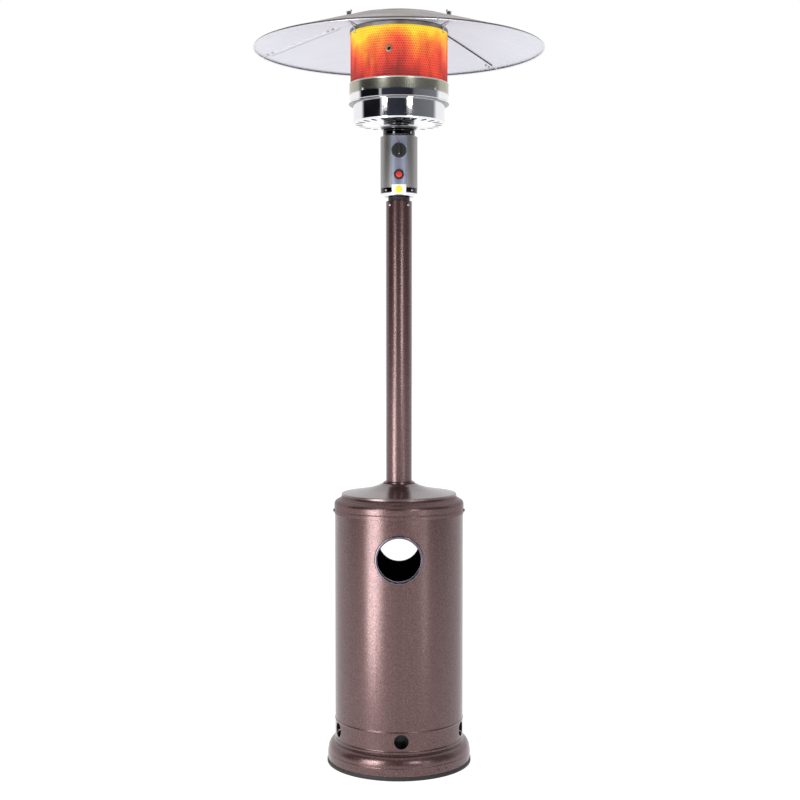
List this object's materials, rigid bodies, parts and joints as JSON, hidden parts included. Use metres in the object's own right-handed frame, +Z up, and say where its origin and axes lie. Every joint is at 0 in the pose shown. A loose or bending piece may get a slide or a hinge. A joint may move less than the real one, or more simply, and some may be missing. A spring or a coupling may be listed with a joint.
{
  "type": "outdoor heater",
  "caption": "Propane patio heater: domed reflector over a glowing mesh burner, control box on a slim pole, and a lift-up cylinder housing on a round base.",
  "frame": {"origin": "on the floor under the pole's axis, at the underside of the base's edge trim", "axes": "+Z up along the pole, -Y to the front, where the knob and the igniter button are, +X to the right seen from the front turned to face +Y"},
  "size_m": [0.85, 0.85, 2.2034],
  "materials": {
    "bronze_paint": "hammered semi-gloss",
    "chrome": "polished",
    "brushed_steel": "brushed",
    "panel_film": "satin",
    "reflector_aluminium": "satin",
    "zinc_steel": "zinc plated",
    "cylinder_paint": "semi-gloss",
    "brass": "machined",
    "black_plastic": "satin",
    "red_plastic": "gloss",
    "rubber": "matte",
    "webbing": "woven",
    "nylon": "satin",
    "heat_steel": "heat tinted",
    "copper": "polished",
    "ceramic": "glazed",
    "glowing_mesh": "perforated, red hot"
  },
  "bodies": {
    "stand": {"base_pan": "bronze_paint", "base_edge_trim": "rubber", "support_leg_1": "zinc_steel", "support_leg_2": "zinc_steel", "support_leg_3": "zinc_steel", "gas_cylinder": "cylinder_paint", "cylinder_collar": "cylinder_paint", "cylinder_valve": "brass", "regulator": "zinc_steel", "gas_hose": "rubber", "cylinder_strap": "webbing", "pole": "bronze_paint", "head_socket": "chrome", "bottom_cup": "chrome", "control_shell_front": "brushed_steel", "control_shell_rear": "brushed_steel", "control_panel": "panel_film", "gas_control_valve": "zinc_steel", "igniter_body": "black_plastic", "valve_bracket": "zinc_steel", "injector": "brass", "tilt_switch": "black_plastic", "neck_collar": "chrome", "burner_bowl": "chrome", "burner_ring": "chrome", "mixing_tube": "heat_steel", "burner_head": "heat_steel", "pilot_shelf": "heat_steel", "pilot_burner": "heat_steel", "thermocouple": "copper", "spark_electrode": "ceramic", "emitter_screen": "glowing_mesh", "emitter_cap": "heat_steel", "reflector_panel_1": "reflector_aluminium", "reflector_panel_2": "reflector_aluminium", "reflector_panel_3": "reflector_aluminium", "reflector_crown": "reflector_aluminium", "reflector_stud_1": "zinc_steel", "reflector_stud_2": "zinc_steel", "reflector_stud_3": "zinc_steel", "wing_nut_1": "zinc_steel", "wing_nut_2": "zinc_steel", "wing_nut_3": "zinc_steel"},
    "lid_guide": {"lid_guide_bush": "nylon"},
    "housing": {"housing_shell": "bronze_paint", "housing_lid": "bronze_paint", "lid_collar": "bronze_paint", "front_hole_trim": "zinc_steel", "rear_hole_trim": "zinc_steel", "lid_screw_1": "zinc_steel", "lid_screw_2": "zinc_steel"},
    "knob_carrier": {"valve_thrust_washer": "zinc_steel"},
    "knob": {"control_knob": "black_plastic", "valve_stem": "brass"},
    "igniter": {"igniter_button": "red_plastic"},
    "handwheel": {"valve_handwheel": "black_plastic"},
    "coupling": {"coupling_nut": "black_plastic"}
  },
  "joints": [
    {"name": "housing_lift", "type": "slide", "parent": "stand", "child": "lid_guide", "axis": [0, 0, 1], "range_m": [0, 0.6]},
    {"name": "housing_turn", "type": "hinge", "parent": "lid_guide", "child": "housing", "pos_m": [0, 0, 0.4], "axis": [0, 0, 1], "continuous": true},
    {"name": "knob_press", "type": "slide", "parent": "stand", "child": "knob_carrier", "axis": [0, 1, 0], "range_m": [0, 0.004], "stiffness_N_per_m": 1500},
    {"name": "knob_turn", "type": "hinge", "parent": "knob_carrier", "child": "knob", "pos_m": [0, -0.07, 1.802], "axis": [0, -1, 0], "range_deg": [0, 225]},
    {"name": "igniter_press", "type": "slide", "parent": "stand", "child": "igniter", "axis": [0, 1, 0], "range_m": [0, 0.005], "stiffness_N_per_m": 2000},
    {"name": "handwheel_turn", "type": "hinge", "parent": "stand", "child": "handwheel", "pos_m": [0, 0, 0.465], "axis": [0, 0, 1], "range_deg": [0, 540]},
    {"name": "coupling_nut_turn", "type": "hinge", "parent": "stand", "child": "coupling", "pos_m": [0.047, 0, 0.4334], "axis": [1, 0, 0], "continuous": true}
  ]
}
